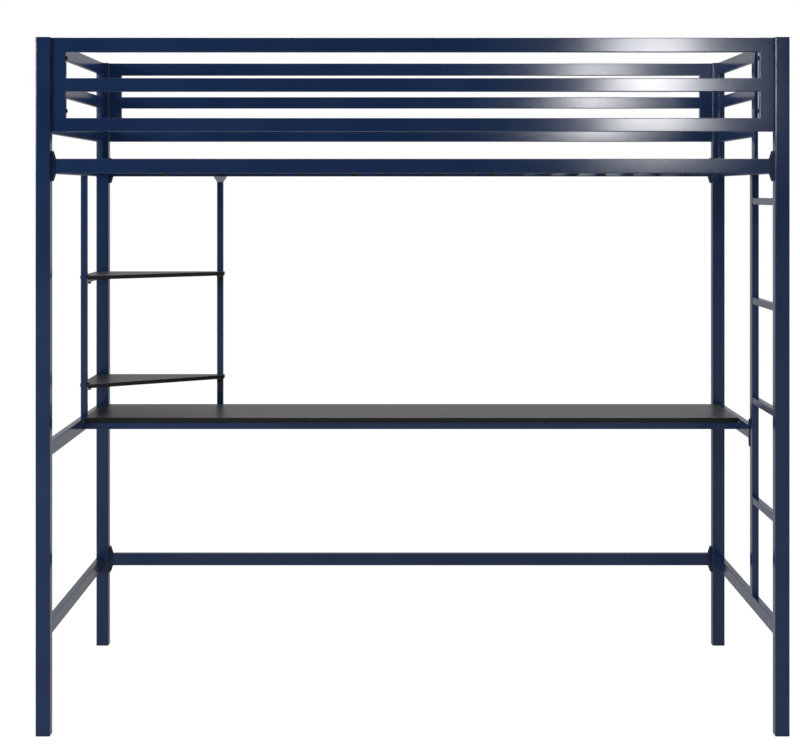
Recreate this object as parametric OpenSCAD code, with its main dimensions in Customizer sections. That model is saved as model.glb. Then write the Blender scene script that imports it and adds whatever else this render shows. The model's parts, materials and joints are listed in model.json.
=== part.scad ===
// Metal loft bed with a full-length desk and two corner shelves under it.
// Millimetres, +Z up. The origin is on the floor under the middle of the bed.
// +X runs along the bed to the ladder end, +Y runs to the wall side.

/* [Overall] */
// Length over the two end frames
bed_l = 1968; // [1700:1:2400]
// Depth over the posts, from the open side to the wall side
bed_w = 1054; // [1000:1:1400]
// Height from the floor to the top of the post caps
bed_h = 1826; // [1520:1:2200]

/* [Posts] */
// Side of the square post tube
post = 38; // [30:0.5:50]
// Wall of the post tube
post_wall = 1.5; // [1:0.1:2.5]
// Outer corner radius of the post tube
post_r = 3; // [2:0.5:6]
// Thickness of a post cap above the tube
cap_t = 1.5; // [1:0.5:6]
// Thickness of a foot glide under the tube
foot_t = 3; // [2:0.5:12]
// How far caps and glides reach into the tube
plug_depth = 18; // [8:1:30]
// Play between a plug and the tube that it sits in, on each side
plug_play = 0.15; // [0.1:0.05:0.4]

/* [Rails] */
// Height of the side rails, the end rails and the crossbar
rail_h = 38; // [25:1:50]
// Thickness of the side rails, the end rails and the crossbar
rail_t = 19; // [12:0.5:25]
// Wall of every rail tube
rail_wall = 1.2; // [0.8:0.1:2]
// Outer corner radius of every rail tube
rail_r = 2; // [1.5:0.1:4]
// From the top of the posts' tubes down to the underside of the bed rails
deck_drop = 354.5; // [300:0.5:420]
// Floor to the underside of the bottom end rails
bottom_rail_z = 238.5; // [100:0.5:400]
// Floor to the underside of the lower crossbar on the wall side
crossbar_z = 250; // [100:0.5:400]

/* [Guards] */
// Height of a guard's top rail
guard_top_h = 38; // [25:1:50]
// Height of a guard's middle and lower rails
guard_low_h = 35.5; // [25:0.5:50]
// Distance between the centre lines of a long guard's rails
guard_pitch = 104.4; // [70:0.1:110]
// Distance between the centre lines of an end guard's rails
end_guard_pitch = 105.9; // [70:0.1:110]
// Width of a guard's end uprights, seen from the front
guard_upright_w = 38; // [25:1:50]
// Gap between a long guard and the post that it is bolted to
guard_gap = 1; // [0.5:0.5:6]
// Thickness of the end guards, along the bed
end_guard_t = 12; // [10:0.5:16]
// How far the end guards stand inside the inner faces of the end rails
end_guard_in = 6; // [0:0.5:7]
// How far the ladder opening reaches from the front post to the end guard
entry_w = 339; // [300:1:395]

/* [Slats] */
// Number of slats across the bed
slat_n = 21; // [12:1:26]
// Width of a slat
slat_w = 16; // [12:1:30]
// Height of a slat
slat_h = 12; // [10:1:20]
// Depth of a slat holder, across the bed
holder_d = 22; // [16:1:30]
// Thickness of a holder's side and back walls
holder_wall = 1.5; // [1:0.5:3]
// Height of a holder's floor, on which the slat lies
holder_floor = 10; // [7:1:14]
// Height of a holder
holder_h = 18; // [14:1:24]
// Gap between a slat and the walls of its holder
slat_play = 0.3; // [0.1:0.1:2]
// Radius of the peg that holds a slat holder in the side rail
peg_r = 3; // [2:0.5:4]
// Length of that peg
peg_l = 10; // [6:1:14]

/* [Ladder] */
// Clear width of the ladder, from the front post to its upright
ladder_w = 399; // [300:1:420]
// Depth of the ladder upright, across the bed
ladder_upright_d = 38; // [25:1:50]
// Side of the square rung tube
rung = 19; // [15:0.5:19]
// Floor to the centre of the lowest rung
first_rung_z = 547.5; // [500:0.5:600]
// Underside of the bed rails down to the centre of the highest rung
top_rung_drop = 75; // [50:1:150]

/* [Desk] */
// Floor to the top of the desk board
desk_top_z = 757.5; // [650:0.5:900]
// Depth of the desk board
desk_d = 369; // [300:1:450]
// Thickness of the desk board
desk_t = 15; // [12:0.5:25]
// Gap between the board's ends and the end rails
desk_gap = 3; // [2:0.5:15]
// Side of the square beams under the board
beam = 19; // [15:0.5:25]
// Top of the board down to the top of the desk-level end rails
desk_rail_drop = 3.5; // [0:0.5:10]

/* [Shelves] */
// Length of a corner shelf along the wall, from the end frame's outer face
shelf_l = 403; // [300:1:600]
// Thickness of a shelf board
shelf_t = 12; // [9:0.5:18]
// Width of a shelf's blunt end
shelf_tip = 28; // [20:1:60]
// How far a shelf's front corner stands proud of the shelf upright
shelf_nose = 31; // [10:1:60]
// Top of the desk to the top of the lower shelf
lower_shelf_rise = 94; // [80:1:160]
// Share of the height between lower shelf and bed rail at which the upper shelf sits
shelf_split = 0.52; // [0.35:0.01:0.65]
// Back post to the front of the left shelf upright
shelf_frame_d = 298; // [240:1:330]
// Side of the square shelf uprights
shelf_post = 19; // [15:0.5:25]
// Height of the bar that carries a shelf's left edge
shelf_bar_h = 11; // [8:0.5:20]
// Gap between a shelf and the steel beside it
shelf_gap = 2; // [0.5:0.5:5]
// Reach of the clip under a shelf's blunt end
clip_reach = 20; // [14:1:30]
// Drop of that clip below the shelf
clip_drop = 11; // [10:1:20]
// Sheet thickness of that clip
clip_t = 2; // [1.5:0.5:4]

/* [Brackets] */
// Height of the saddle brackets at the ends of the rails
saddle_h = 79; // [70:1:100]
// Reach of a saddle bracket along its rail
saddle_reach = 11; // [10:0.1:20]
// Reach of a saddle bracket at its two tips
saddle_tip = 5; // [4:0.1:9]
// Sheet thickness of a saddle bracket
saddle_t = 2.5; // [1.5:0.1:4]
// Rail centre to each bolt of a saddle bracket
saddle_bolt_dz = 29; // [25:0.5:34]
// Height of the flared head on the right shelf upright
flare_h = 17; // [10:1:25]
// Width of the flared head where it meets the rail
flare_w = 40; // [26:1:50]

/* [Fasteners] */
// Shank radius of the frame bolts
bolt_r = 3; // [2.5:0.1:4]
// Head radius of the frame bolts
bolt_head_r = 6; // [5:0.1:6.5]
// Head height of the frame bolts inside the frame
bolt_head_h = 4; // [2:0.1:5]
// Head height of the thumb bolts under the shelves
thumb_head_h = 7; // [3:0.5:9]
// Head height of the low bolts on the outer faces
low_head_h = 2.5; // [1.5:0.1:4]
// Added to a bolt's radius for the hole that it passes through
bolt_play = 0.3; // [0.2:0.1:0.6]
// Outer radius of a threaded insert in a post
insert_r = 4.5; // [4:0.1:6]
// Length of a threaded insert
insert_l = 14; // [10:1:20]
// Top of the posts' tubes down to a guard's upper bolts
guard_bolt_drop = 53; // [45:1:60]
// Distance between a guard's upper and lower bolts
guard_bolt_gap = 138; // [110:1:140]
// Shank radius of the wood screws
screw_r = 2; // [1.5:0.1:3]
// Head radius of those screws
screw_head_r = 4; // [3:0.1:5]
// Head height of those screws
screw_head_h = 2; // [1:0.1:3]

/* [Hidden] */
$fn = 32;

navy = "#22365c";
dark_board = "#3c3c3d";
black_steel = "#1b1c1f";
plastic = "#18202f";
zinc = "#8f959c";

// Half sizes and the faces that the pieces share
x_out = bed_l / 2;
x_post = x_out - post;
x_end = x_out - rail_t;
y_out = bed_w / 2;
y_post = y_out - post;
y_rail = y_out - post / 2 - rail_t / 2;
y_rail_mid = y_out - post / 2;
tube_top = bed_h - cap_t;

// Levels
deck_z = tube_top - deck_drop;
deck_top_z = deck_z + rail_h;
board_z = desk_top_z - desk_t;
beam_z = board_z - beam;
desk_rail_z = desk_top_z - desk_rail_drop - rail_h;
lower_shelf_z = desk_top_z + lower_shelf_rise;
upper_shelf_z = lower_shelf_z + shelf_split * (deck_z - lower_shelf_z);

// Ladder, measured from the front post towards the wall
ladder_y = -y_post + ladder_w;
entry_y = -y_post + entry_w;
rung_n = 4;
top_rung_z = deck_z - top_rung_drop;
function rung_z(i) = first_rung_z + (i - 1) * (top_rung_z - first_rung_z) / (rung_n - 1);

// Desk and shelves, measured from the back posts towards the open side
desk_y = y_post - desk_d;
shelf_y = y_post - shelf_frame_d;
shelf_x = -x_out + shelf_l;
shelf_post_x = shelf_x - shelf_gap * 3 - shelf_post;

// Guard rail centre lines, from the top rail down
function guard_rail_z(i, pitch = guard_pitch) = tube_top - guard_top_h / 2 - i * pitch;
function guard_rail_h(i) = i == 0 ? guard_top_h : guard_low_h;
guard_z = guard_rail_z(2) - guard_low_h / 2;
guard_x = x_post - guard_gap;
end_guard_x = x_end - end_guard_in;
guard_bolt_z = [tube_top - guard_bolt_drop, tube_top - guard_bolt_drop - guard_bolt_gap];

// ---- shared shapes ----

// Rounded rectangle with one corner at the origin
module round_rect(w, h, r) {
    translate([r, 0]) square([w - 2 * r, h]);
    translate([0, r]) square([w, h - 2 * r]);
    for (x = [r, w - r], y = [r, h - r]) translate([x, y]) circle(r);
}

// Wall of a rectangular tube in section
module tube_section(w, h, wall, r) {
    difference() {
        round_rect(w, h, r);
        translate([wall, wall]) square([w - 2 * wall, h - 2 * wall]);
    }
}

// Turn what is drawn on XY and extruded to +Z so that it runs along +X or +Y
module along_x() {
    rotate([90, 0, 90]) children();
}

module along_y(len) {
    translate([0, len, 0]) rotate([90, 0, 0]) children();
}

// Rail tubes, each from its lowest corner
module rail_x(at, len, d = rail_t, h = rail_h) {
    translate(at) along_x() linear_extrude(len) tube_section(d, h, rail_wall, rail_r);
}

module rail_y(at, len, w = rail_t, h = rail_h) {
    translate(at) along_y(len) linear_extrude(len) tube_section(w, h, rail_wall, rail_r);
}

module rail_up(at, len, w, d) {
    translate(at) linear_extrude(len) tube_section(w, d, rail_wall, rail_r);
}

// Point +Z along a chosen direction: "+x", "-x", "+y", "-y" or "-z"
module aim(dir) {
    turn = dir == "+x" ? [0, 90, 0] : dir == "-x" ? [0, -90, 0]
        : dir == "+y" ? [-90, 0, 0] : dir == "-y" ? [90, 0, 0] : [180, 0, 0];
    rotate(turn) children();
}

// Button-head bolt with a hex socket; its shank runs from the origin along +Z
module bolt(len, head_h = bolt_head_h) {
    edge_h = head_h * 0.45;
    socket = head_h * 0.55;
    difference() {
        union() {
            cylinder(h = len, r = bolt_r - bolt_play / 3);
            translate([0, 0, -edge_h]) cylinder(h = edge_h, r = bolt_head_r);
            translate([0, 0, -head_h])
                cylinder(h = head_h - edge_h, r1 = bolt_head_r * 0.62, r2 = bolt_head_r);
        }
        translate([0, 0, -head_h - 1]) cylinder(h = socket + 1, r = bolt_r * 0.75, $fn = 6);
    }
}

module screw(len) {
    cylinder(h = len, r = screw_r);
    translate([0, 0, -screw_head_h]) cylinder(h = screw_head_h, r = screw_head_r);
}

module bolt_hole(len) {
    cylinder(h = len, r = bolt_r + bolt_play);
}

// The places where a bolt enters a post: guards, side rails and lower crossbar
function saddle_bolt_z(mid) = [mid - saddle_bolt_dz, mid + saddle_bolt_dz];
bed_bolt_z = saddle_bolt_z(deck_z + rail_h / 2);
bar_bolt_z = saddle_bolt_z(crossbar_z + rail_h / 2);
function post_bolt_z(sy) = concat(guard_bolt_z, bed_bolt_z, sy > 0 ? bar_bolt_z : []);

// ---- posts ----

// Square post at side sx of the length and side sy of the depth
module post_tube(sx, sy) {
    x0 = sx > 0 ? x_post : -x_out;
    y0 = sy > 0 ? y_post : -y_out;
    color(navy) difference() {
        translate([x0, y0, foot_t])
            linear_extrude(tube_top - foot_t) tube_section(post, post, post_wall, post_r);
        for (z = post_bolt_z(sy))
            translate([sx * (x_post - 1), sy * y_rail_mid, z])
                aim(sx > 0 ? "+x" : "-x") cylinder(h = post_wall + 2, r = insert_r);
    }
}

// Plug shape of caps and glides: a head over the tube and a stem in it
module post_plug(head) {
    stem = post - 2 * (post_wall + plug_play);
    translate([-post / 2, -post / 2, 0]) linear_extrude(head) round_rect(post, post, post_r);
    translate([-stem / 2, -stem / 2, -plug_depth]) cube([stem, stem, plug_depth]);
}

module at_each_post() {
    for (sx = [-1, 1], sy = [-1, 1])
        translate([sx * (x_out - post / 2), sy * y_rail_mid, 0]) children();
}

module post_caps() {
    color(plastic) at_each_post() translate([0, 0, tube_top]) post_plug(cap_t);
}

module foot_glides() {
    color(plastic) at_each_post()
        translate([0, 0, foot_t]) mirror([0, 0, 1]) post_plug(foot_t);
}

// ---- guards ----

// Welded guard panel that runs along X, its middle plane at y = 0
module long_guard() {
    t = rail_t;
    inner = t - 2 * rail_wall;
    tall = tube_top - guard_z;
    color(navy) difference() {
        union() {
            for (sx = [-1, 1])
                translate([sx > 0 ? guard_x - guard_upright_w : -guard_x, -t / 2, guard_z])
                    linear_extrude(tall) round_rect(guard_upright_w, t, rail_r);
            for (i = [0:2]) {
                h = guard_rail_h(i);
                span = 2 * (guard_x - guard_upright_w / 2);
                translate([-span / 2, -t / 2, guard_rail_z(i) - h / 2])
                    along_x() linear_extrude(span) round_rect(t, h, rail_r);
            }
        }
        for (sx = [-1, 1])
            translate([sx * (guard_x - guard_upright_w / 2), 0, guard_z - 1 + tall / 2 + 1])
                cube([guard_upright_w - 2 * rail_wall, inner, tall + 2], center = true);
        for (i = [0:2])
            translate([0, 0, guard_rail_z(i)])
                cube([2 * guard_x - guard_upright_w, inner, guard_rail_h(i) - 2 * rail_wall],
                    center = true);
        for (sx = [-1, 1], z = guard_bolt_z)
            translate([sx * (guard_x - guard_upright_w - 1), 0, z])
                aim(sx > 0 ? "+x" : "-x") bolt_hole(guard_upright_w + 2);
    }
}

module front_guard() {
    translate([0, -y_rail_mid, 0]) long_guard();
}

module back_guard() {
    translate([0, y_rail_mid, 0]) long_guard();
}

// Welded end guard from y0 to y1; it stands on the bed's end rail at side sx
module end_guard(sx, y0, y1) {
    t = end_guard_t;
    inner = t - 2 * rail_wall;
    x0 = sx > 0 ? end_guard_x : -end_guard_x - t;
    tall = tube_top - deck_top_z;
    w = guard_upright_w;
    color(navy) difference() {
        union() {
            for (y = [y0, y1 - w])
                translate([x0, y, deck_top_z]) linear_extrude(tall) round_rect(t, w, rail_r);
            for (i = [0:2]) {
                h = guard_rail_h(i);
                translate([x0, y0 + w / 2, guard_rail_z(i, end_guard_pitch) - h / 2])
                    along_y(y1 - y0 - w) linear_extrude(y1 - y0 - w) round_rect(t, h, rail_r);
            }
        }
        for (y = [y0 + w / 2, y1 - w / 2])
            translate([x0 + t / 2, y, deck_top_z + tall / 2])
                cube([inner, w - 2 * rail_wall, tall + 2], center = true);
        for (i = [0:2])
            translate([x0 + t / 2, (y0 + y1) / 2, guard_rail_z(i, end_guard_pitch)])
                cube([inner, y1 - y0 - w, guard_rail_h(i) - 2 * rail_wall], center = true);
    }
}

module left_end_guard() {
    end_guard(-1, -y_post, y_post);
}

module right_end_guard() {
    end_guard(1, entry_y, y_post);
}

// Plug that closes the mouth of a w by d tube, level with its end
module mouth_plug(w, d) {
    fit = rail_wall + plug_play;
    translate([0, 0, -plug_depth / 4])
        cube([w - 2 * fit, d - 2 * fit, plug_depth / 2], center = true);
}

module guard_end_plugs() {
    color(plastic) {
        for (sx = [-1, 1], sy = [-1, 1])
            translate([sx * (guard_x - guard_upright_w / 2), sy * y_rail_mid, 0]) {
                translate([0, 0, tube_top]) mouth_plug(guard_upright_w, rail_t);
                translate([0, 0, guard_z]) mirror([0, 0, 1]) mouth_plug(guard_upright_w, rail_t);
            }
        for (y = [-y_post, y_post - guard_upright_w])
            translate([-end_guard_x - end_guard_t / 2, y + guard_upright_w / 2, tube_top])
                mouth_plug(end_guard_t, guard_upright_w);
        for (y = [entry_y, y_post - guard_upright_w])
            translate([end_guard_x + end_guard_t / 2, y + guard_upright_w / 2, tube_top])
                mouth_plug(end_guard_t, guard_upright_w);
    }
}

// ---- bed rails ----

// Rail between two posts that sits in saddle brackets; its bolts clear its ends
module saddled_rail_x(y_mid, z) {
    color(navy) rail_x([-x_post + saddle_t, y_mid - rail_t / 2, z], 2 * (x_post - saddle_t));
}

module front_side_rail() {
    color(navy) difference() {
        saddled_rail_x(-y_rail_mid, deck_z);
        peg_holes(-1);
    }
}

module back_side_rail() {
    color(navy) difference() {
        saddled_rail_x(y_rail_mid, deck_z);
        peg_holes(1);
    }
}

module lower_crossbar() {
    saddled_rail_x(y_rail_mid, crossbar_z);
}

// Saddle bracket: its back plate lies on the plane x = 0 and it reaches along +X,
// with a cheek on each side of the rail; z = 0 is the rail's centre line
module saddle() {
    half = saddle_h / 2;
    grip = rail_h / 2 + 1;
    cheek = [[0, -half], [saddle_tip, -half], [saddle_reach, -grip], [saddle_reach, grip],
        [saddle_tip, half], [0, half]];
    color(navy) difference() {
        union() {
            translate([0, -rail_t / 2, -half]) cube([saddle_t, rail_t, saddle_h]);
            for (y = [-rail_t / 2 - saddle_t, rail_t / 2])
                translate([0, y + saddle_t, 0]) rotate([90, 0, 0])
                    linear_extrude(saddle_t) polygon(cheek);
        }
        for (dz = [-saddle_bolt_dz, saddle_bolt_dz])
            translate([-1, 0, dz]) aim("+x") bolt_hole(saddle_t + 2);
    }
}

// A pair of saddles on the posts for a rail at y whose centre line is at z
module saddle_pair(y, z) {
    translate([-x_post, y, z]) saddle();
    translate([x_post, y, z]) mirror([1, 0, 0]) saddle();
}

module side_rail_brackets() {
    for (sy = [-1, 1]) saddle_pair(sy * y_rail_mid, deck_z + rail_h / 2);
}

module crossbar_brackets() {
    saddle_pair(y_rail_mid, crossbar_z + rail_h / 2);
}

slat_half = y_rail - holder_wall - slat_play;
slat_pitch = 2 * x_post / (slat_n + 1);
slat_z = deck_z + holder_floor;
peg_z = deck_z + holder_floor / 2;
function slat_x(i) = (i - (slat_n + 1) / 2) * slat_pitch;

module slats() {
    color(navy) for (i = [1:slat_n])
        rail_y([slat_x(i) - slat_w / 2, -slat_half, slat_z], 2 * slat_half, slat_w, slat_h);
}

// Moulded holder for a slat's end, pegged to the rail whose inner face is y = 0;
// it reaches along -Y and its underside is at z = 0
module slat_holder() {
    w = slat_w + 2 * (slat_play + holder_wall);
    difference() {
        union() {
            translate([-w / 2, -holder_d, 0]) cube([w, holder_d, holder_h]);
            translate([0, 0, holder_floor / 2]) aim("+y") cylinder(h = peg_l, r = peg_r);
        }
        translate([-slat_w / 2 - slat_play, -holder_d - 1, holder_floor])
            cube([slat_w + 2 * slat_play, holder_d + 1 - holder_wall, holder_h]);
    }
}

module slat_holders() {
    color(plastic) for (i = [1:slat_n], sy = [0, 1])
        translate([slat_x(i), 0, deck_z])
            mirror([0, sy, 0]) translate([0, y_rail, 0]) slat_holder();
}

// Holes for the pegs in the inner wall of the side rail at side sy
module peg_holes(sy) {
    for (i = [1:slat_n])
        translate([slat_x(i), sy * (y_rail - 1), peg_z])
            aim(sy > 0 ? "+y" : "-y") cylinder(h = rail_wall + 2, r = peg_r + bolt_play / 3);
}

// Rail across the bed at side sx, from y0 to the back post
module end_rail(sx, z, y0 = -y_post) {
    color(navy) rail_y([sx > 0 ? x_end : -x_out, y0, z], y_post - y0);
}

module bed_end_rail_left() {
    end_rail(-1, deck_z);
}

module bed_end_rail_right() {
    end_rail(1, deck_z);
}

module bottom_end_rail_left() {
    end_rail(-1, bottom_rail_z);
}

module bottom_end_rail_right() {
    end_rail(1, bottom_rail_z);
}

// ---- ladder ----

module ladder_upright() {
    foot = bottom_rail_z + rail_h;
    color(navy) difference() {
        rail_up([x_end, ladder_y, foot], deck_z - foot, rail_t, ladder_upright_d);
        for (z = saddle_bolt_z(desk_rail_z + rail_h / 2))
            translate([x_end + rail_t / 2, ladder_y + ladder_upright_d - rail_wall - 1, z])
                aim("+y") cylinder(h = rail_wall + 2, r = insert_r);
    }
}

module ladder_rung(i) {
    color(navy) rail_y([x_end, -y_post, rung_z(i) - rung / 2], ladder_w, rung, rung);
}

// ---- desk ----

desk_rail_y = ladder_y + ladder_upright_d;
beam_mid_z = beam_z + beam / 2;
beam_mid_y = [desk_y + beam / 2, y_post - beam / 2];

// Holes for the bolts that hold the beams, through the end rail at side sx
module beam_bolt_holes(sx) {
    for (y = beam_mid_y)
        translate([sx * (x_end - 1), y, beam_mid_z])
            aim(sx > 0 ? "+x" : "-x") bolt_hole(rail_t + 2);
}

module desk_end_rail_left() {
    color(navy) difference() {
        end_rail(-1, desk_rail_z);
        beam_bolt_holes(-1);
    }
}

// The right rail stops at the ladder upright and sits in a saddle bracket there
module desk_end_rail_right() {
    color(navy) difference() {
        end_rail(1, desk_rail_z, desk_rail_y + saddle_t);
        beam_bolt_holes(1);
    }
}

module desk_end_rail_bracket() {
    translate([x_end + rail_t / 2, desk_rail_y, desk_rail_z + rail_h / 2])
        rotate([0, 0, 90]) saddle();
}

module desk_board() {
    half = x_end - desk_gap;
    color(dark_board) difference() {
        translate([-half, desk_y, board_z]) cube([2 * half, desk_d, desk_t]);
        desk_screw_places() translate([0, 0, -1]) cylinder(h = desk_t * 0.6 + 1, r = screw_r);
    }
}

module desk_beam(y) {
    color(navy) difference() {
        rail_x([-x_end, y, beam_z], 2 * x_end, beam, beam);
        desk_screw_places() translate([0, 0, -beam - 1]) {
            cylinder(h = beam + 2, r = screw_r);
            cylinder(h = 1, r = screw_head_r);
            translate([0, 0, 1]) flush_head();
        }
    }
}

// Countersunk head, level with the beam's underside
module flush_head() {
    cylinder(h = screw_head_h, r1 = screw_head_r, r2 = screw_r);
}

module desk_front_beam() {
    desk_beam(desk_y);
}

// The right shelf upright is bolted to the back beam from behind
module desk_back_beam() {
    color(navy) difference() {
        desk_beam(y_post - beam);
        translate([shelf_post_x + shelf_post / 2, y_post + 1, beam_mid_z])
            aim("-y") cylinder(h = rail_wall + 2, r = bolt_r);
    }
}

// The board is screwed down at five places along each beam
desk_screw_n = 5;
desk_screw_inset = 90;
module desk_screw_places() {
    step = 2 * (x_end - desk_screw_inset) / (desk_screw_n - 1);
    for (i = [0:desk_screw_n - 1], y = beam_mid_y)
        translate([-x_end + desk_screw_inset + i * step, y, board_z]) children();
}

module desk_board_screws() {
    color(zinc) desk_screw_places() translate([0, 0, -beam]) {
        cylinder(h = beam + desk_t * 0.6, r = screw_r);
        flush_head();
    }
}

// Threaded plugs in the beams' ends that take the beam bolts
beam_plug_l = 22;
module beam_end_plugs() {
    fit = rail_wall + plug_play;
    side = beam - 2 * fit;
    color(zinc) for (sx = [-1, 1], y = beam_mid_y)
        difference() {
            translate([sx * (x_end - beam_plug_l / 2), y, beam_mid_z])
                cube([beam_plug_l, side, side], center = true);
            translate([sx * (x_end + 1), y, beam_mid_z])
                aim(sx > 0 ? "-x" : "+x") cylinder(h = beam_plug_l + 2, r = bolt_r);
        }
}

module desk_beam_bolts() {
    color(black_steel) for (sx = [-1, 1], y = beam_mid_y)
        translate([sx * x_out, y, beam_mid_z])
            aim(sx > 0 ? "-x" : "+x") bolt(rail_t + beam_plug_l * 0.8, low_head_h);
}

// ---- shelves ----

module shelf_upright_left() {
    foot = desk_rail_z + rail_h;
    color(navy) difference() {
        rail_up([-x_out, shelf_y, foot], deck_z - foot, rail_t, shelf_post);
        for (z = [lower_shelf_z, upper_shelf_z])
            translate([-x_out - 1, shelf_y + shelf_post / 2, z - shelf_t / 2])
                aim("+x") bolt_hole(rail_t + 2);
    }
}

module shelf_upright_right() {
    color(navy) difference() {
        rail_up([shelf_post_x, y_post, beam_z], deck_z - flare_h - beam_z, shelf_post, shelf_post);
        for (z = [clip_bolt_z(lower_shelf_z), clip_bolt_z(upper_shelf_z), beam_mid_z])
            translate([shelf_post_x + shelf_post / 2, y_post - 1, z])
                aim("+y") bolt_hole(shelf_post + 2);
    }
}

// Flared head between the right upright and the side rail
module shelf_upright_head() {
    color(navy) translate([shelf_post_x + shelf_post / 2, y_post + shelf_post / 2, deck_z])
        mirror([0, 0, 1]) linear_extrude(flare_h, scale = shelf_post / flare_w)
            square(flare_w, center = true);
}

// Corner shelf: a long triangle along the wall with a step round the left upright
module shelf(z) {
    step_x = -x_end + shelf_gap * 4;
    back = y_post - shelf_gap / 2;
    color(dark_board) difference() {
        translate([0, 0, z - shelf_t]) linear_extrude(shelf_t)
            polygon([[step_x, shelf_y - shelf_nose], [shelf_x, back - shelf_tip],
                [shelf_x, back], [-x_out + shelf_gap / 2, back],
                [-x_out + shelf_gap / 2, shelf_y + shelf_post + shelf_gap],
                [step_x, shelf_y + shelf_post + shelf_gap]]);
        translate([step_x - 1, shelf_y + shelf_post / 2, z - shelf_t / 2])
            aim("+x") cylinder(h = shelf_bolt_grip + 1, r = bolt_r);
        translate([shelf_post_x + shelf_post / 2, y_post - clip_reach * 0.6, z - shelf_t - 1])
            cylinder(h = shelf_grip + 1, r = screw_r);
        translate([-x_out + rail_t / 2, shelf_bar_bolt_y, z - shelf_t - 1])
            cylinder(h = shelf_grip + 1, r = bolt_r);
    }
}

// How deep the bolts and screws go into a shelf's edge and its underside
shelf_bolt_grip = 25;
shelf_grip = shelf_t * 0.7;
shelf_bar_bolt_y = (shelf_y + shelf_post + y_post) / 2 - 55;

module upper_shelf() {
    shelf(upper_shelf_z);
}

module lower_shelf() {
    shelf(lower_shelf_z);
}

// Bar between left upright and back post that carries a shelf's left edge
module shelf_bar(z) {
    y0 = shelf_y + shelf_post;
    color(navy) difference() {
        rail_y([-x_out, y0, z - shelf_t - shelf_bar_h], y_post - y0, rail_t, shelf_bar_h);
        translate([-x_out + rail_t / 2, shelf_bar_bolt_y, z - shelf_t - shelf_bar_h - 1])
            bolt_hole(shelf_bar_h + 2);
    }
}

module upper_shelf_bar() {
    shelf_bar(upper_shelf_z);
}

module lower_shelf_bar() {
    shelf_bar(lower_shelf_z);
}

// Angle clips on the right upright that carry the shelves' blunt ends
function clip_bolt_z(z) = z - shelf_t - clip_t - (clip_drop - clip_t) / 2;

module shelf_clips() {
    color(black_steel) for (z = [lower_shelf_z, upper_shelf_z])
        difference() {
            translate([shelf_post_x, y_post - clip_reach, z - shelf_t - clip_drop])
                cube([shelf_post, clip_reach, clip_drop]);
            translate([shelf_post_x - 1, y_post - clip_reach - 1, z - shelf_t - clip_drop - 1])
                cube([shelf_post + 2, clip_reach - clip_t + 1, clip_drop - clip_t + 1]);
            translate([shelf_post_x + shelf_post / 2, y_post + 1, clip_bolt_z(z)])
                aim("-y") cylinder(h = clip_t + 2, r = bolt_r);
            translate([shelf_post_x + shelf_post / 2, y_post - clip_reach * 0.6,
                z - shelf_t - clip_t - 1])
                cylinder(h = clip_t + 2, r = screw_r);
        }
}

// Bolts through the left upright and the bars into the shelves
module shelf_bolts() {
    color(black_steel) for (z = [lower_shelf_z, upper_shelf_z]) {
        translate([-x_out, shelf_y + shelf_post / 2, z - shelf_t / 2])
            aim("+x") bolt(rail_t + shelf_gap * 4 + shelf_bolt_grip - 1, low_head_h);
        translate([-x_out + rail_t / 2, shelf_bar_bolt_y, z - shelf_t - shelf_bar_h])
            bolt(shelf_bar_h + shelf_grip - 1, thumb_head_h);
    }
}

// Bolts through the right upright, from behind, into the clips and the back beam
module shelf_upright_bolts() {
    bolt_z = [clip_bolt_z(lower_shelf_z), clip_bolt_z(upper_shelf_z), beam_mid_z];
    color(black_steel) for (z = bolt_z)
        translate([shelf_post_x + shelf_post / 2, y_post + shelf_post, z])
            aim("-y") bolt(shelf_post + clip_t + bolt_r);
}

module shelf_clip_screws() {
    color(zinc) for (z = [lower_shelf_z, upper_shelf_z])
        translate([shelf_post_x + shelf_post / 2, y_post - clip_reach * 0.6,
            z - shelf_t - clip_t])
            screw(clip_t + shelf_grip - 1);
}

// ---- fasteners of the frame ----

module guard_bolts() {
    color(black_steel) for (sx = [-1, 1], sy = [-1, 1], z = guard_bolt_z)
        translate([sx * (guard_x - guard_upright_w), sy * y_rail_mid, z])
            aim(sx > 0 ? "+x" : "-x") bolt(guard_upright_w + guard_gap + insert_l - 2);
}

module guard_spacers() {
    color(plastic) for (sx = [-1, 1], sy = [-1, 1], z = guard_bolt_z)
        translate([sx * guard_x, sy * y_rail_mid, z]) aim(sx > 0 ? "+x" : "-x")
            difference() {
                cylinder(h = guard_gap, r = bolt_head_r + 1);
                translate([0, 0, -1]) bolt_hole(guard_gap + 2);
            }
}

// Bolts through a pair of saddle brackets on the posts, at depth y
module saddle_bolts(y, levels) {
    color(black_steel) for (sx = [-1, 1], z = levels)
        translate([sx * (x_post - saddle_t), y, z])
            aim(sx > 0 ? "+x" : "-x") bolt(saddle_t + insert_l - 2);
}

module side_rail_bolts() {
    for (sy = [-1, 1]) saddle_bolts(sy * y_rail_mid, bed_bolt_z);
}

module crossbar_bolts() {
    saddle_bolts(y_rail_mid, bar_bolt_z);
}

module desk_end_rail_bolts() {
    color(black_steel) for (z = saddle_bolt_z(desk_rail_z + rail_h / 2))
        translate([x_end + rail_t / 2, desk_rail_y + saddle_t, z])
            aim("-y") bolt(saddle_t + insert_l - 2);
}

// Threaded inserts pressed into the posts and into the ladder upright
module insert_nut() {
    difference() {
        cylinder(h = insert_l, r = insert_r);
        translate([0, 0, -1]) cylinder(h = insert_l + 2, r = bolt_r);
    }
}

module insert_nuts() {
    color(zinc) {
        for (sx = [-1, 1], sy = [-1, 1], z = post_bolt_z(sy))
            translate([sx * x_post, sy * y_rail_mid, z])
                aim(sx > 0 ? "+x" : "-x") insert_nut();
        for (z = saddle_bolt_z(desk_rail_z + rail_h / 2))
            translate([x_end + rail_t / 2, desk_rail_y, z]) aim("-y") insert_nut();
    }
}

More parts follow.
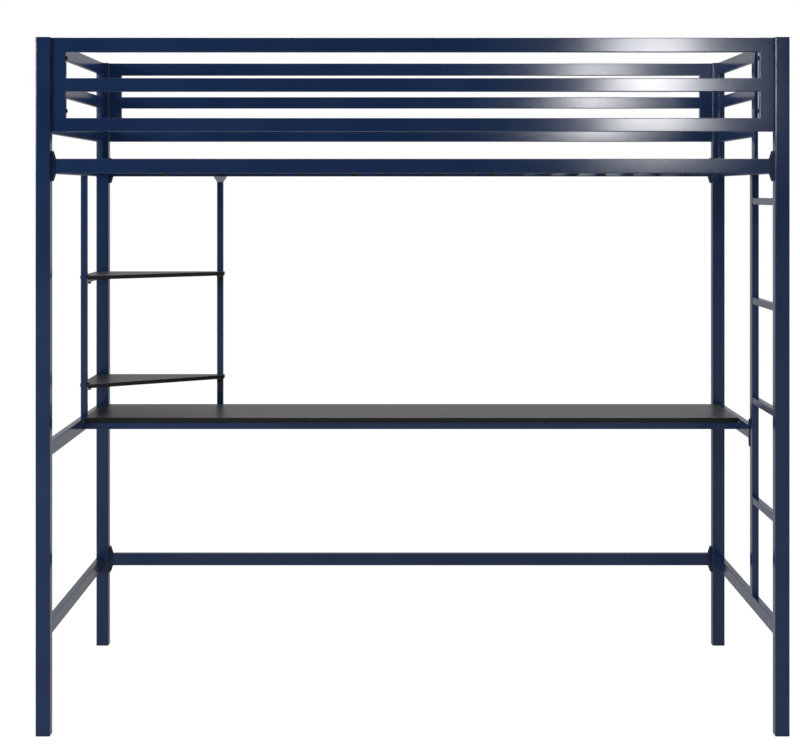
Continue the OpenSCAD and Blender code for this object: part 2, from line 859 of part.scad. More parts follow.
post_tube(-1, -1);  // post_front_left
post_tube(1, -1);  // post_front_right
post_tube(-1, 1);  // post_back_left
post_tube(1, 1);  // post_back_right
post_caps();
foot_glides();
front_guard();
back_guard();
left_end_guard();
right_end_guard();
guard_end_plugs();
front_side_rail();
back_side_rail();
side_rail_brackets();
slats();
slat_holders();
bed_end_rail_left();
bed_end_rail_right();
desk_end_rail_left();
desk_end_rail_right();
desk_end_rail_bracket();
bottom_end_rail_left();
bottom_end_rail_right();
lower_crossbar();
crossbar_brackets();
ladder_upright();
ladder_rung(1);  // ladder_rung_1
ladder_rung(2);  // ladder_rung_2
ladder_rung(3);  // ladder_rung_3
ladder_rung(4);  // ladder_rung_4
desk_board();
desk_front_beam();
desk_back_beam();
beam_end_plugs();
shelf_upright_left();
shelf_upright_right();
shelf_upright_head();
upper_shelf();
lower_shelf();
upper_shelf_bar();
lower_shelf_bar();
shelf_clips();
guard_bolts();
guard_spacers();
side_rail_bolts();
crossbar_bolts();
desk_end_rail_bolts();
desk_beam_bolts();
desk_board_screws();
shelf_bolts();
shelf_upright_bolts();
shelf_clip_screws();
insert_nuts();
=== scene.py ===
import math

import bmesh
import bpy
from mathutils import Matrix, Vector
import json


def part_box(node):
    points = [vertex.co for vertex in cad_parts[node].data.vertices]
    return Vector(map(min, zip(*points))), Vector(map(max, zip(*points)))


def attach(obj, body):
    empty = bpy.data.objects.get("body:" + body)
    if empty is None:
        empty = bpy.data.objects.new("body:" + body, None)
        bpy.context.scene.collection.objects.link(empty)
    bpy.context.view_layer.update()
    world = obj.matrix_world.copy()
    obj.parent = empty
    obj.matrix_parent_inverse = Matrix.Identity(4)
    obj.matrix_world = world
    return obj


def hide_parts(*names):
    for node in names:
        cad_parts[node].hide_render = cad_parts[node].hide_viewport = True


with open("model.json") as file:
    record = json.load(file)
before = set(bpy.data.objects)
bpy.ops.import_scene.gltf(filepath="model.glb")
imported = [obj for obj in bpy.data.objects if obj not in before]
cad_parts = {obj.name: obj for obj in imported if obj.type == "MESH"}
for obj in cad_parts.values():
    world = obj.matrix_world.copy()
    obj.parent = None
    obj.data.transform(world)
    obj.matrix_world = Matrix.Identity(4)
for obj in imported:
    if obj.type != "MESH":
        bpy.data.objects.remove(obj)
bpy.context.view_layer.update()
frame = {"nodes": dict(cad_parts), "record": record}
nodes = frame["nodes"]


# ---- Welded steel tube frame ----
# Posts, rails, guards, slats, ladder and desk beams are thin square and flat steel tube, cut and
# welded into flat frames. All of it has a gloss navy powder coat, which flows a little before it
# sets, so the flats mirror the room softly and have a faint orange peel.
COAT_PEEL_MM = 2.6
MM_PER_M = 1000


def linear(hex_colour):
    """sRGB hex colour as linear red, green, blue and alpha."""
    parts = [int(hex_colour[i:i + 2], 16) / 255 for i in (1, 3, 5)]
    light = [c / 12.92 if c <= 0.04045 else ((c + 0.055) / 1.055) ** 2.4 for c in parts]
    return (*light, 1.0)


def add_node(tree, kind, settings=None, links=None, out=None):
    """Adds a node, sets its properties and sockets, and links sockets to earlier nodes' outputs."""
    made = tree.nodes.new(kind)
    for key, value in (settings or {}).items():
        if isinstance(key, str) and hasattr(made, key):
            setattr(made, key, value)
        else:
            made.inputs[key].default_value = value
    for key, source in (links or {}).items():
        tree.links.new(source, made.inputs[key])
    if out is not None:
        tree.links.new(made.outputs[0], out)
    return made


def new_material(name):
    """An empty material with its output node."""
    material = bpy.data.materials.new(name)
    material.use_nodes = True
    tree = material.node_tree
    tree.nodes.clear()
    return material, tree, add_node(tree, "ShaderNodeOutputMaterial")


def navy_powder_coat(name, thin, thick):
    """Gloss polyester powder coat: flat and deep, a little lighter where it flowed thinner."""
    material, tree, output = new_material(name)
    place = add_node(tree, "ShaderNodeTexCoord").outputs["Object"]
    flow = add_node(tree, "ShaderNodeTexNoise", {"Scale": 6.0, "Detail": 3.0}, {"Vector": place})
    tint = add_node(tree, "ShaderNodeValToRGB", links={"Fac": flow.outputs["Fac"]})
    tint.color_ramp.elements[0].position = 0.35
    tint.color_ramp.elements[0].color = linear(thick)
    tint.color_ramp.elements[1].position = 0.7
    tint.color_ramp.elements[1].color = linear(thin)
    gloss = add_node(tree, "ShaderNodeMapRange",
                     {"From Min": 0.3, "From Max": 0.7, "To Min": 0.15, "To Max": 0.18},
                     {"Value": flow.outputs["Fac"]})
    peel = add_node(tree, "ShaderNodeTexNoise",
                    {"Scale": MM_PER_M / COAT_PEEL_MM, "Detail": 1.0},
                    {"Vector": place})
    bump = add_node(tree, "ShaderNodeBump", {"Strength": 0.06, "Distance": 0.0003},
                    {"Height": peel.outputs["Fac"]})
    shader = add_node(tree, "ShaderNodeBsdfPrincipled", {"IOR": 1.5},
                      {"Base Color": tint.outputs["Color"], "Roughness": gloss.outputs["Result"],
                       "Normal": bump.outputs["Normal"]})
    tree.links.new(shader.outputs[0], output.inputs["Surface"])
    return material


def dress(names, material):
    """Gives carried-over nodes their finish."""
    for name in names:
        mesh = nodes[name].data
        mesh.materials.clear()
        mesh.materials.append(material)


navy_coat = navy_powder_coat("gloss_navy_powder_coat", "#182D4E", "#14284A")
steel_nodes = [part["node"] for part in frame["record"]["subparts"]
               if part["material_slot"] == "navy_steel"]
dress(steel_nodes, navy_coat)


# ---- Saddle brackets ----
# Pressed steel plates that wrap the rails' ends and bolt to the posts. They have the same gloss
# powder coat as the frame, with its navy painted darker as painted shade from the posts beside
# them.
dress(["side_rail_brackets", "crossbar_brackets", "desk_end_rail_bracket"],
      navy_powder_coat("navy_coat_painted_shade", "#12223F", "#0E1C36"))


# ---- Weld beads ----
# The end rails, rungs, ladder upright and end guards are fillet-welded to what they meet. Each
# seam is a thin rippled bead of steel under the same powder coat.
BEAD_MM = 1.1
RIPPLE_MM = 2.2
GUARD_UPRIGHT_MM = 38
GUARD_OVERHANG_MM = 6.2
SEAM_INSET_MM = 2


def as_piece(name, verts, edges=(), faces=()):
    """A mesh object at the origin, in the scene."""
    mesh = bpy.data.meshes.new(name)
    mesh.from_pydata(verts, edges, faces)
    made = bpy.data.objects.new(name, mesh)
    bpy.context.scene.collection.objects.link(made)
    return made


def tree_socket(tree, name):
    """Identifier of a named input of a geometry tree."""
    return next(i.identifier for i in tree.interface.items_tree
                if i.item_type == "SOCKET" and i.in_out == "INPUT" and i.name == name)


def geometry_tree(name, inputs):
    """A geometry tree with its geometry sockets, its named inputs, and its two end nodes."""
    tree = bpy.data.node_groups.new(name, "GeometryNodeTree")
    tree.interface.new_socket("Geometry", in_out="INPUT", socket_type="NodeSocketGeometry")
    for label, kind in inputs:
        tree.interface.new_socket(label, in_out="INPUT", socket_type=kind)
    tree.interface.new_socket("Geometry", in_out="OUTPUT", socket_type="NodeSocketGeometry")
    return tree, add_node(tree, "NodeGroupInput"), add_node(tree, "NodeGroupOutput")


def baked(source, tree, values, name, smooth=True):
    """Runs a geometry tree on an object, and gives the result as a plain mesh piece."""
    modifier = source.modifiers.new("make", "NODES")
    modifier.node_group = tree
    for label, value in values.items():
        modifier[tree_socket(tree, label)] = value
    graph = bpy.context.evaluated_depsgraph_get()
    mesh = bpy.data.meshes.new_from_object(source.evaluated_get(graph), depsgraph=graph)
    mesh.name = name
    source.modifiers.remove(modifier)
    bpy.data.objects.remove(source)
    mesh.polygons.foreach_set("use_smooth", [smooth] * len(mesh.polygons))
    made = bpy.data.objects.new(name, mesh)
    bpy.context.scene.collection.objects.link(made)
    return made


bead_tree, bead_in, bead_out = geometry_tree("weld_bead", [
    ("Radius", "NodeSocketFloat"), ("Ripple", "NodeSocketFloat"),
    ("Material", "NodeSocketMaterial")])
seam = add_node(bead_tree, "GeometryNodeMeshToCurve", links={"Mesh": bead_in.outputs["Geometry"]})
steps = add_node(bead_tree, "GeometryNodeResampleCurve", {"mode": "LENGTH"},
                 {"Curve": seam.outputs["Curve"], "Length": bead_in.outputs["Ripple"]})
ring = add_node(bead_tree, "GeometryNodeCurvePrimitiveCircle", {"Resolution": 6},
                {"Radius": bead_in.outputs["Radius"]})
ripple_noise = add_node(bead_tree, "FunctionNodeRandomValue",
                        {"data_type": "FLOAT", 2: 0.72, 3: 1.1, "Seed": 7})
swell = add_node(bead_tree, "GeometryNodeSetCurveRadius",
                 links={"Curve": steps.outputs["Curve"], "Radius": ripple_noise.outputs[1]})
bead = add_node(bead_tree, "GeometryNodeCurveToMesh", {"Fill Caps": True},
                {"Curve": swell.outputs["Curve"], "Profile Curve": ring.outputs["Curve"]})
joined = add_node(bead_tree, "GeometryNodeRealizeInstances",
                  links={"Geometry": bead.outputs["Mesh"]})
add_node(bead_tree, "GeometryNodeSetMaterial",
         links={"Geometry": joined.outputs["Geometry"], "Material": bead_in.outputs["Material"]},
         out=bead_out.inputs["Geometry"])

seam_points, seam_edges = [], []


def seam_path(points):
    """Adds one weld path through the points, in metres."""
    start = len(seam_points)
    seam_points.extend(points)
    seam_edges.extend((i, i + 1) for i in range(start, len(seam_points) - 1))


def end_seam(low, high, y, inward):
    """Weld round the top, inner face and underside of a tube's end at depth y."""
    outer, inner = (high.x, low.x) if inward < 0 else (low.x, high.x)
    seam_path([(outer, y, high.z), (inner, y, high.z), (inner, y, low.z), (outer, y, low.z)])


end_rails = ["bed_end_rail_left", "bed_end_rail_right", "desk_end_rail_left",
             "bottom_end_rail_left", "bottom_end_rail_right"]
for name in end_rails + ["ladder_rung_1", "ladder_rung_2", "ladder_rung_3", "ladder_rung_4"]:
    low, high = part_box(name)
    for y in (low.y, high.y):
        end_seam(low, high, y, -1 if low.x > 0 else 1)
low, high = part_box("desk_end_rail_right")
end_seam(low, high, high.y, -1)
low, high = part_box("ladder_upright")
for z in (low.z, high.z):
    seam_path([(high.x, low.y, z), (low.x, low.y, z), (low.x, high.y, z), (high.x, high.y, z)])
upright_w, overhang = GUARD_UPRIGHT_MM / MM_PER_M, GUARD_OVERHANG_MM / MM_PER_M
inset = SEAM_INSET_MM / MM_PER_M
for name in ("left_end_guard", "right_end_guard"):
    low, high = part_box(name)
    for y in (low.y, high.y - upright_w):
        for x in (low.x + overhang, high.x) if low.x > 0 else (low.x, high.x - overhang):
            seam_path([(x, y + inset, low.z), (x, y + upright_w - inset, low.z)])
beads = baked(as_piece("weld_paths", seam_points, seam_edges), bead_tree,
              {"Radius": BEAD_MM / MM_PER_M, "Ripple": RIPPLE_MM / MM_PER_M, "Material": navy_coat},
              "weld_beads")
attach(beads, "root")


# ---- Post caps and foot glides ----
# Each post is closed by a moulded dark plastic cap on top and stands on a plastic glide. Both are
# pressed in, with a thin rim that overlaps the tube and a slightly crowned face. The slats'
# holders, the guards' spacers and the plugs in the guards' tubes are the same plastic.
STEM_MM = 18
STEM_PLAY_MM = 1.65
STEM_LEAD_IN_MM = (1, 2)
RIM_CORNER_MM = 3
STEM_CORNER_MM = 2
CROWN_INSET_MM = 2.5
GRAIN_MM = 0.8


def moulded_dark_plastic():
    """Injection-moulded polypropylene: a fine spark-eroded grain, far duller than the steel."""
    material, tree, output = new_material("moulded_dark_polypropylene")
    place = add_node(tree, "ShaderNodeTexCoord").outputs["Object"]
    grain = add_node(tree, "ShaderNodeTexNoise", {"Scale": MM_PER_M / GRAIN_MM, "Detail": 2.0},
                     {"Vector": place})
    patch = add_node(tree, "ShaderNodeTexNoise", {"Scale": 30.0, "Detail": 2.0}, {"Vector": place})
    tint = add_node(tree, "ShaderNodeValToRGB", links={"Fac": patch.outputs["Fac"]})
    tint.color_ramp.elements[0].color = linear("#10151F")
    tint.color_ramp.elements[1].color = linear("#182030")
    bump = add_node(tree, "ShaderNodeBump", {"Strength": 0.2, "Distance": 0.0002},
                    {"Height": grain.outputs["Fac"]})
    shader = add_node(tree, "ShaderNodeBsdfPrincipled", {"IOR": 1.49, "Roughness": 0.5},
                      {"Base Color": tint.outputs["Color"], "Normal": bump.outputs["Normal"]})
    tree.links.new(shader.outputs[0], output.inputs["Surface"])
    return material


plastic = moulded_dark_plastic()
dress(["guard_spacers", "slat_holders", "guard_end_plugs"], plastic)


def rounded_outline(half_x, half_y, radius, steps=5):
    """Corner-rounded rectangle as points in turn."""
    points = []
    for cx, cy, start in ((1, 1, 0), (-1, 1, 90), (-1, -1, 180), (1, -1, 270)):
        for i in range(steps + 1):
            a = math.radians(start + 90 * i / steps)
            points.append((cx * (half_x - radius) + radius * math.cos(a),
                           cy * (half_y - radius) + radius * math.sin(a)))
    return points


def lofted(name, rings):
    """Closed solid through rings of (outline, z); the first and last are filled."""
    verts, faces = [], []
    count = len(rings[0][0])
    for outline, z in rings:
        verts += [(x, y, z) for x, y in outline]
    for r in range(len(rings) - 1):
        for i in range(count):
            j = (i + 1) % count
            faces.append((r * count + i, r * count + j, (r + 1) * count + j, (r + 1) * count + i))
    faces.append(tuple(range(count))[::-1])
    faces.append(tuple(range((len(rings) - 1) * count, len(rings) * count)))
    return as_piece(name, verts, faces=faces)


scatter_tree, scatter_in, scatter_out = geometry_tree("set_out", [
    ("Piece", "NodeSocketObject"), ("Material", "NodeSocketMaterial")])
shape = add_node(scatter_tree, "GeometryNodeObjectInfo",
                 links={"Object": scatter_in.outputs["Piece"]})
turn = add_node(scatter_tree, "GeometryNodeInputNamedAttribute",
                {"data_type": "FLOAT_VECTOR", "Name": "turn"})
turned = add_node(scatter_tree, "FunctionNodeEulerToRotation",
                  links={"Euler": turn.outputs["Attribute"]})
copies = add_node(scatter_tree, "GeometryNodeInstanceOnPoints",
                  links={"Points": scatter_in.outputs["Geometry"],
                         "Instance": shape.outputs["Geometry"],
                         "Rotation": turned.outputs["Rotation"]})
real = add_node(scatter_tree, "GeometryNodeRealizeInstances",
                links={"Geometry": copies.outputs["Instances"]})
add_node(scatter_tree, "GeometryNodeSetMaterial",
         links={"Geometry": real.outputs["Geometry"], "Material": scatter_in.outputs["Material"]},
         out=scatter_out.inputs["Geometry"])


def set_out(name, pattern, places, material, smooth=False):
    """One mesh of copies of the pattern at places, each (position, turn in degrees)."""
    points = as_piece(name + "_points", [p for p, _ in places])
    layer = points.data.attributes.new("turn", "FLOAT_VECTOR", "POINT")
    for i, (_, t) in enumerate(places):
        layer.data[i].vector = [math.radians(v) for v in t]
    made = baked(points, scatter_tree, {"Piece": pattern, "Material": material}, name, smooth)
    bpy.data.objects.remove(pattern)
    return made


post_low, post_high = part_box("post_front_left")
post_half = (post_high.x - post_low.x) / 2
cap_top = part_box("post_caps")[1]
cap_t = cap_top.z - post_high.z
glide_t = post_low.z
stem = post_half - STEM_PLAY_MM / MM_PER_M


def cap_rings(thickness, depth=STEM_MM / MM_PER_M):
    """Rings from the stem's end, over the rim, to the crowned face."""
    rim_corner, stem_corner = RIM_CORNER_MM / MM_PER_M, STEM_CORNER_MM / MM_PER_M
    narrowing, lead_in = (v / MM_PER_M for v in STEM_LEAD_IN_MM)
    crown = post_half - CROWN_INSET_MM / MM_PER_M
    tip = stem - narrowing
    ledge = rounded_outline(post_half, post_half, rim_corner)
    shoulder = rounded_outline(post_half - 0.0006, post_half - 0.0006, rim_corner - 0.0004)
    plug = rounded_outline(stem, stem, stem_corner)
    return [(rounded_outline(tip, tip, stem_corner), -depth), (plug, -depth + lead_in), (plug, 0.0),
            (ledge, 0.0), (ledge, thickness * 0.45), (shoulder, thickness * 0.8),
            (rounded_outline(crown, crown, 0.0016), thickness)]


corners = [(sx * (cap_top.x - post_half), sy * (cap_top.y - post_half))
           for sx in (-1, 1) for sy in (-1, 1)]
caps = set_out("moulded_post_caps", lofted("cap", cap_rings(cap_t)),
               [((x, y, post_high.z), (0, 0, 0)) for x, y in corners], plastic)
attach(caps, "root")
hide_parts("post_caps")
glides = set_out("moulded_foot_glides", lofted("glide", cap_rings(glide_t)),
                 [((x, y, glide_t), (180, 0, 0)) for x, y in corners], plastic)
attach(glides, "root")
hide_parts("foot_glides")


# ---- Bolts ----
# The frames are joined with socket button-head machine bolts, black-oxide steel. The low ones on
# the outer faces are the same bolts with flatter heads. The threaded inserts and plugs that they
# screw into, and the boards' screws, are zinc plated.
HEAD_RADIUS_MM = 6.0
HEAD_RISE_MM = 4.0
SOCKET_RADIUS_MM = 2.25
SHANK_RADIUS_MM = 2.9
SHANK_TIP_MM = (1.0, 0.8)
BEAM_BOLT_MM = 36.6


def black_oxide_steel():
    """Black oxide over steel: dark and satin, a little brighter where a key has rubbed it."""
    material, tree, output = new_material("black_oxide_bolt_steel")
    place = add_node(tree, "ShaderNodeTexCoord").outputs["Object"]
    rub = add_node(tree, "ShaderNodeTexNoise", {"Scale": 220.0, "Detail": 3.0}, {"Vector": place})
    tint = add_node(tree, "ShaderNodeValToRGB", links={"Fac": rub.outputs["Fac"]})
    tint.color_ramp.elements[0].color = linear("#101216")
    tint.color_ramp.elements[1].color = linear("#24272D")
    rough = add_node(tree, "ShaderNodeMapRange", {"To Min": 0.3, "To Max": 0.5},
                     {"Value": rub.outputs["Fac"]})
    shader = add_node(tree, "ShaderNodeBsdfPrincipled", {"Metallic": 0.6},
                      {"Base Color": tint.outputs["Color"], "Roughness": rough.outputs["Result"]})
    tree.links.new(shader.outputs[0], output.inputs["Surface"])
    return material


def zinc_steel():
    """Bright zinc plate: pale grey with a faint crystalline mottle."""
    material, tree, output = new_material("zinc_plated_steel")
    place = add_node(tree, "ShaderNodeTexCoord").outputs["Object"]
    mottle = add_node(tree, "ShaderNodeTexVoronoi", {"Scale": 400.0}, {"Vector": place})
    tint = add_node(tree, "ShaderNodeValToRGB", links={"Fac": mottle.outputs["Distance"]})
    tint.color_ramp.elements[0].color = linear("#8A8F96")
    tint.color_ramp.elements[1].color = linear("#A4A9AF")
    shader = add_node(tree, "ShaderNodeBsdfPrincipled", {"Metallic": 1.0, "Roughness": 0.34},
                      {"Base Color": tint.outputs["Color"]})
    tree.links.new(shader.outputs[0], output.inputs["Surface"])
    return material


bolt_steel = black_oxide_steel()
dress([part["node"] for part in frame["record"]["subparts"]
       if part["material_slot"] == "black_steel"], bolt_steel)
dress([part["node"] for part in frame["record"]["subparts"]
       if part["material_slot"] == "zinc_steel"], zinc_steel())


head_r = HEAD_RADIUS_MM / MM_PER_M


def turned_ring(radius, z, turns):
    """A circle of points at height z."""
    return [(radius * math.cos(math.tau * i / turns), radius * math.sin(math.tau * i / turns), z)
            for i in range(turns)]


def hex_ring(radius, z, turns):
    """The outline of a hex key, with as many points as the head has."""
    points = []
    for i in range(turns):
        a = math.tau * i / turns
        flat = radius * math.cos(math.pi / 6) / math.cos(a % (math.pi / 3) - math.pi / 6)
        points.append((flat * math.cos(a), flat * math.sin(a), z))
    return points


def point_outwards(mesh):
    """Recalculates a closed mesh's normals."""
    solid = bmesh.new()
    solid.from_mesh(mesh)
    bmesh.ops.recalc_face_normals(solid, faces=solid.faces)
    solid.to_mesh(mesh)
    solid.free()


def button_bolt(name, head_h, shank_l, turns=24):
    """Domed head with a hex socket at the origin's far side; the shank runs along +Z."""
    socket_r, shank_r = SOCKET_RADIUS_MM / MM_PER_M, SHANK_RADIUS_MM / MM_PER_M
    tip_l, tip_inset = (v / MM_PER_M for v in SHANK_TIP_MM)
    dome = ((0.985, 0.0), (1.0, 0.12), (1.0, 0.3), (0.93, 0.58), (0.8, 0.8), (0.62, 0.95),
            (0.5, 1.0))
    rings = [turned_ring(head_r * wide, -head_h * rise, turns) for wide, rise in dome]
    rings += [hex_ring(socket_r, -head_h, turns), hex_ring(socket_r, -head_h * 0.4, turns)]
    shank = [turned_ring(shank_r, 0.0, turns), turned_ring(shank_r, shank_l - tip_l, turns),
             turned_ring(shank_r - tip_inset, shank_l, turns)]
    verts = [point for ring in rings + shank for point in ring]
    base, last = len(rings) * turns, (len(rings) - 1) * turns
    faces = []
    for i in range(turns):
        j = (i + 1) % turns
        for start in range(0, last, turns):
            faces.append((start + j, start + i, start + turns + i, start + turns + j))
        faces.append((i, j, base + j, base + i))
        for start in (base, base + turns):
            faces.append((start + i, start + j, start + turns + j, start + turns + i))
    faces.append(tuple(last + i for i in range(turns))[::-1])
    faces.append(tuple(base + 2 * turns + i for i in range(turns)))
    made = as_piece(name, verts, faces=faces)
    point_outwards(made.data)
    return made


along_plus_x, along_minus_x, along_minus_y = (0, 90, 0), (0, -90, 0), (90, 0, 0)


def bolt_set(name, node, head_h, shank_l, places):
    """Bolts at places that stand for a carried-over bolt node."""
    made = set_out(name, button_bolt(name + "_one", head_h, shank_l), places, bolt_steel)
    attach(made, "root")
    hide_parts(node)


def outward_bolts(name, node, seat, levels_y, levels_z):
    """Bolts at both ends: heads at x = seat, shanks running outwards into the posts."""
    shank_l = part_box(node)[1].x - seat
    bolt_set(name, node, HEAD_RISE_MM / MM_PER_M, shank_l,
             [((side * seat, y, z), along_plus_x if side > 0 else along_minus_x)
              for side in (-1, 1) for y in levels_y for z in levels_z])


low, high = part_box("guard_bolts")
outward_bolts("guard_button_bolts", "guard_bolts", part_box("front_guard")[1].x - upright_w,
              (low.y + head_r, high.y - head_r), (low.z + head_r, high.z - head_r))
low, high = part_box("side_rail_bolts")
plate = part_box("front_side_rail")[1].x
outward_bolts("side_rail_button_bolts", "side_rail_bolts", plate,
              (low.y + head_r, high.y - head_r), (low.z + head_r, high.z - head_r))
low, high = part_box("crossbar_bolts")
outward_bolts("crossbar_button_bolts", "crossbar_bolts", plate,
              (high.y - head_r,), (low.z + head_r, high.z - head_r))
low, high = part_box("desk_end_rail_bolts")
plate_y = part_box("desk_end_rail_right")[0].y
bolt_set("desk_rail_button_bolts", "desk_end_rail_bolts", HEAD_RISE_MM / MM_PER_M, plate_y - low.y,
         [((high.x - head_r, plate_y, z), along_minus_y)
          for z in (low.z + head_r, high.z - head_r)])
low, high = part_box("desk_beam_bolts")
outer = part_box("desk_end_rail_right")[1].x
bolt_set("desk_beam_button_bolts", "desk_beam_bolts", high.x - outer, BEAM_BOLT_MM / MM_PER_M,
         [((side * outer, y, (low.z + high.z) / 2), along_minus_x if side > 0 else along_plus_x)
          for side in (-1, 1) for y in (low.y + head_r, high.y - head_r)])


# ---- Desk board and shelves ----
# The desk top and both corner shelves are laminated particle board with a plain charcoal satin
# laminate and a darker PVC band glued round the edge. The band's corners are eased by hand.
EASE_MM = 1.1
PORE_MM = 1.4
SHELF_TIP_MM = 28
NOTCH_MM = (8, 2)


def charcoal_laminate():
    """Melamine laminate: an even charcoal with a fine pressed pore texture and a satin shine."""
    material, tree, output = new_material("charcoal_melamine_laminate")
    place = add_node(tree, "ShaderNodeTexCoord").outputs["Object"]
    pressed = add_node(tree, "ShaderNodeMapping", {"Scale": (0.35, 1.0, 1.0)}, {"Vector": place})
    cloud = add_node(tree, "ShaderNodeTexNoise", {"Scale": 9.0, "Detail": 4.0},
                     {"Vector": pressed.outputs["Vector"]})
    tint = add_node(tree, "ShaderNodeValToRGB", links={"Fac": cloud.outputs["Fac"]})
    tint.color_ramp.elements[0].position = 0.3
    tint.color_ramp.elements[0].color = linear("#2B2B2C")
    tint.color_ramp.elements[1].position = 0.75
    tint.color_ramp.elements[1].color = linear("#323233")
    pores = add_node(tree, "ShaderNodeTexNoise", {"Scale": MM_PER_M / PORE_MM, "Detail": 2.0},
                     {"Vector": pressed.outputs["Vector"]})
    bump = add_node(tree, "ShaderNodeBump", {"Strength": 0.1, "Distance": 0.0002},
                    {"Height": pores.outputs["Fac"]})
    shader = add_node(tree, "ShaderNodeBsdfPrincipled", {"IOR": 1.5, "Roughness": 0.35},
                      {"Base Color": tint.outputs["Color"], "Normal": bump.outputs["Normal"]})
    tree.links.new(shader.outputs[0], output.inputs["Surface"])
    return material


def black_edge_band():
    """PVC edge band: darker than the laminate and smoother, with no pores."""
    material, tree, output = new_material("black_pvc_edge_band")
    place = add_node(tree, "ShaderNodeTexCoord").outputs["Object"]
    drawn = add_node(tree, "ShaderNodeTexNoise", {"Scale": 60.0, "Detail": 2.0}, {"Vector": place})
    tint = add_node(tree, "ShaderNodeValToRGB", links={"Fac": drawn.outputs["Fac"]})
    tint.color_ramp.elements[0].color = linear("#0B0B0C")
    tint.color_ramp.elements[1].color = linear("#121213")
    shader = add_node(tree, "ShaderNodeBsdfPrincipled", {"IOR": 1.52, "Roughness": 0.28},
                      {"Base Color": tint.outputs["Color"]})
    tree.links.new(shader.outputs[0], output.inputs["Surface"])
    return material


laminate = charcoal_laminate()
band = black_edge_band()


def banded_board(name, outline, low_z, high_z, node):
    """A board with eased edges; its sides carry the edge band."""
    count = len(outline)
    verts = [(x, y, low_z) for x, y in outline] + [(x, y, high_z) for x, y in outline]
    faces = [tuple(range(count))[::-1], tuple(range(count, 2 * count))]
    faces += [(i, (i + 1) % count, count + (i + 1) % count, count + i) for i in range(count)]
    made = as_piece(name, verts, faces=faces)
    made.data.materials.append(laminate)
    made.data.materials.append(band)
    solid = bmesh.new()
    solid.from_mesh(made.data)
    bmesh.ops.recalc_face_normals(solid, faces=solid.faces)
    for face in solid.faces:
        face.material_index = 0 if abs(face.normal.z) > 0.9 else 1
    bmesh.ops.bevel(solid, geom=solid.edges[:], offset=EASE_MM / MM_PER_M, segments=3, profile=0.5,
                    affect="EDGES", clamp_overlap=True, material=1)
    solid.to_mesh(made.data)
    solid.free()
    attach(made, "root")
    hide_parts(node)


low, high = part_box("desk_board")
banded_board("laminated_desk_board", [(low.x, low.y), (high.x, low.y), (high.x, high.y),
                                      (low.x, high.y)], low.z, high.z, "desk_board")
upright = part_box("shelf_upright_left")[1]
step_x = upright.x + NOTCH_MM[0] / MM_PER_M
step_y = upright.y + NOTCH_MM[1] / MM_PER_M
for node in ("upper_shelf", "lower_shelf"):
    low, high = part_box(node)
    banded_board("laminated_" + node, [(step_x, low.y), (high.x, high.y - SHELF_TIP_MM / MM_PER_M),
                                       (high.x, high.y), (low.x, high.y), (low.x, step_y),
                                       (step_x, step_y)], low.z, high.z, node)


# ---- Studio ----
# A plain white floor in a white room, a soft box from the left and a wide one overhead. Two more
# boxes only show as reflections: the streak along the guards, and the pale front of the shelf
# upright's head.
FLOOR_HALF_M = 30


def white_studio_floor():
    """Matt white paper: it keeps a faint shadow, is plain white where lit, and mirrors softer."""
    material, tree, output = new_material("white_studio_floor")
    path = add_node(tree, "ShaderNodeLightPath")
    share = add_node(tree, "ShaderNodeMath", {"operation": "MULTIPLY", 1: 0.8},
                     {0: path.outputs["Is Camera Ray"]})
    either = add_node(tree, "ShaderNodeMath", {"operation": "MAXIMUM"},
                      {0: share.outputs[0], 1: path.outputs["Is Glossy Ray"]})
    level = add_node(tree, "ShaderNodeMapRange", {"To Min": 1.18, "To Max": 0.38},
                     {"Value": path.outputs["Is Glossy Ray"]})
    paper = add_node(tree, "ShaderNodeBsdfDiffuse", {"Color": (0.85, 0.85, 0.85, 1.0)})
    glow = add_node(tree, "ShaderNodeEmission", {"Color": (1.0, 1.0, 1.0, 1.0)},
                    {"Strength": level.outputs["Result"]})
    add_node(tree, "ShaderNodeMixShader",
             links={0: either.outputs[0], 1: paper.outputs[0], 2: glow.outputs[0]},
             out=output.inputs["Surface"])
    return material


floor = as_piece("studio_floor", [(x * FLOOR_HALF_M, y * FLOOR_HALF_M, 0)
                                  for x, y in ((-1, -1), (1, -1), (1, 1), (-1, 1))],
                 faces=[(0, 1, 2, 3)])
floor.data.materials.append(white_studio_floor())

world = bpy.data.worlds.new("white_room")
bpy.context.scene.world = world
world.use_nodes = True
world.node_tree.nodes.clear()
room_out = add_node(world.node_tree, "ShaderNodeOutputWorld")
path = add_node(world.node_tree, "ShaderNodeLightPath")
seen = add_node(world.node_tree, "ShaderNodeMath", {"operation": "MAXIMUM"},
                {0: path.outputs["Is Camera Ray"], 1: path.outputs["Is Transmission Ray"]})
around = add_node(world.node_tree, "ShaderNodeTexCoord").outputs["Generated"]
depth = add_node(world.node_tree, "ShaderNodeSeparateXYZ", links={"Vector": around})
mirrored = add_node(world.node_tree, "ShaderNodeMapRange",
                    {"From Min": -0.75, "From Max": 0.1, "To Min": 0.02, "To Max": 0.42},
                    {"Value": depth.outputs["Y"]})
ambient = add_node(world.node_tree, "ShaderNodeMapRange", {"To Min": 0.34},
                   {"Value": path.outputs["Is Glossy Ray"], "To Max": mirrored.outputs["Result"]})
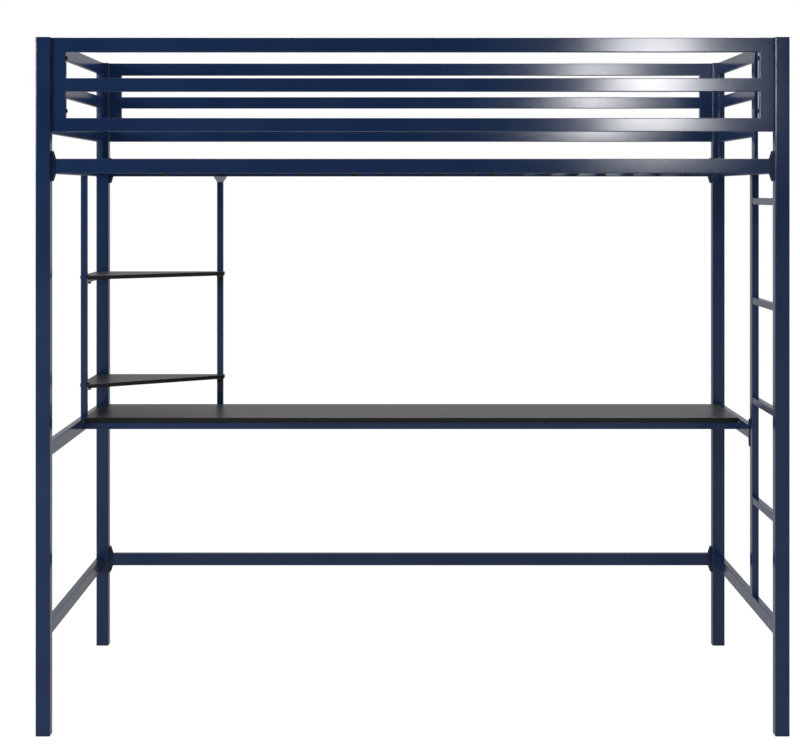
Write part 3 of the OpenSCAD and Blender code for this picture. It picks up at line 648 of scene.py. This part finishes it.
level = add_node(world.node_tree, "ShaderNodeMapRange", {"To Max": 1.0},
                 {"Value": seen.outputs[0], "To Min": ambient.outputs["Result"]})
add_node(world.node_tree, "ShaderNodeBackground", {"Color": (1.0, 1.0, 1.0, 1.0)},
         {"Strength": level.outputs["Result"]}, out=room_out.inputs["Surface"])


def soft_box(name, place, aim, size, watts, beam=180, mirrored_only=False):
    """A soft box at place, facing aim, with its beam in degrees; some only show as reflections."""
    lamp = bpy.data.lights.new(name, "AREA")
    lamp.shape = "RECTANGLE"
    lamp.size, lamp.size_y = size
    lamp.energy = watts
    lamp.spread = math.radians(beam)
    made = bpy.data.objects.new(name, lamp)
    made.location = place
    made.visible_diffuse = not mirrored_only
    made.visible_camera = False
    made.rotation_euler = (Vector(aim) - Vector(place)).to_track_quat("-Z", "Y").to_euler()
    bpy.context.scene.collection.objects.link(made)


soft_box("guard_streak_box", (0.92, -2.83, 1.84), (0.92, 0.0, 1.76), (0.32, 0.46), 1.2,
         beam=46, mirrored_only=True)
head_low, head_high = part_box("shelf_upright_head")
head_front = Vector(((head_low.x + head_high.x) / 2, head_low.y + 0.005,
                     (head_low.z + head_high.z) / 2))
glint_offset = Vector((-0.0225, -0.1138, -0.2215))
soft_box("shelf_head_glint", head_front + glint_offset, head_front, (0.08, 0.08), 0.0073,
         beam=60, mirrored_only=True)
soft_box("left_key_box", (-4.9, -3.9, 2.3), (0.0, -0.2, 1.0), (1.1, 1.1), 205.0)
soft_box("top_fill", (0.3, 0.2, 4.6), (0.0, 0.2, 0.0), (3.0, 2.4), 165.0)

camera_data = bpy.data.cameras.new("studio_camera")
camera_data.sensor_width = 36.0
camera_data.lens = 87.42
camera_data.shift_x = -0.00025
camera_data.shift_y = -0.2294
camera_data.clip_end = 100.0
camera = bpy.data.objects.new("studio_camera", camera_data)
camera.location = (-0.0323, -5.594, 1.4198)
camera.rotation_euler = (math.radians(90), 0.0, 0.0)
bpy.context.scene.collection.objects.link(camera)
bpy.context.scene.camera = camera
bpy.context.scene.view_settings.view_transform = "Standard"
